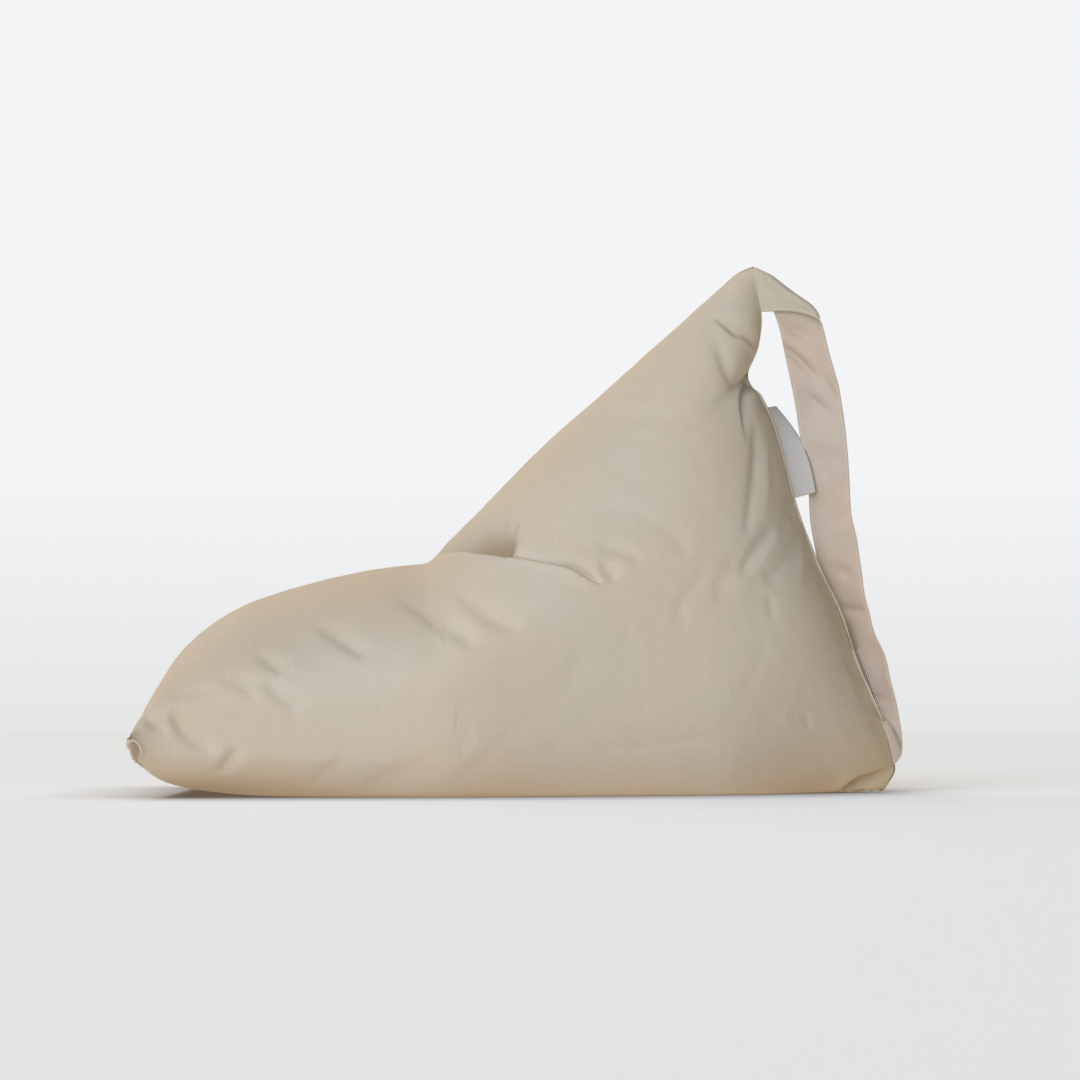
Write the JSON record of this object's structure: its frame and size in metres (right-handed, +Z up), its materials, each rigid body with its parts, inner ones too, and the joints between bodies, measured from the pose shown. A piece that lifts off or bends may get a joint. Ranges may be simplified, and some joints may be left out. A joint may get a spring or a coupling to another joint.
{
  "type": "bean bag",
  "caption": "Tetrahedral bean bag lounger: one filled cloth cover with a low nose, a seat hollow and a tall peak, a stitched back seam, a flat carry strap and a bare side tag.",
  "frame": {"origin": "on the floor, under the middle of the whole object's box", "axes": "+Z up, -X towards the low nose, +X towards the back seam and the strap, -Y the side that the picture shows"},
  "size_m": [1.0218, 0.736, 0.7152],
  "materials": {
    "sand_canvas": "fine twill canvas with a slight sheen",
    "strap_canvas": "wrong side of the same twill, duller and pinker",
    "tag_satin": "smooth woven satin"
  },
  "bodies": {
    "root": {"cover": "sand_canvas", "seam_band": "sand_canvas", "strap": "strap_canvas", "tag": "tag_satin"}
  },
  "joints": []
}
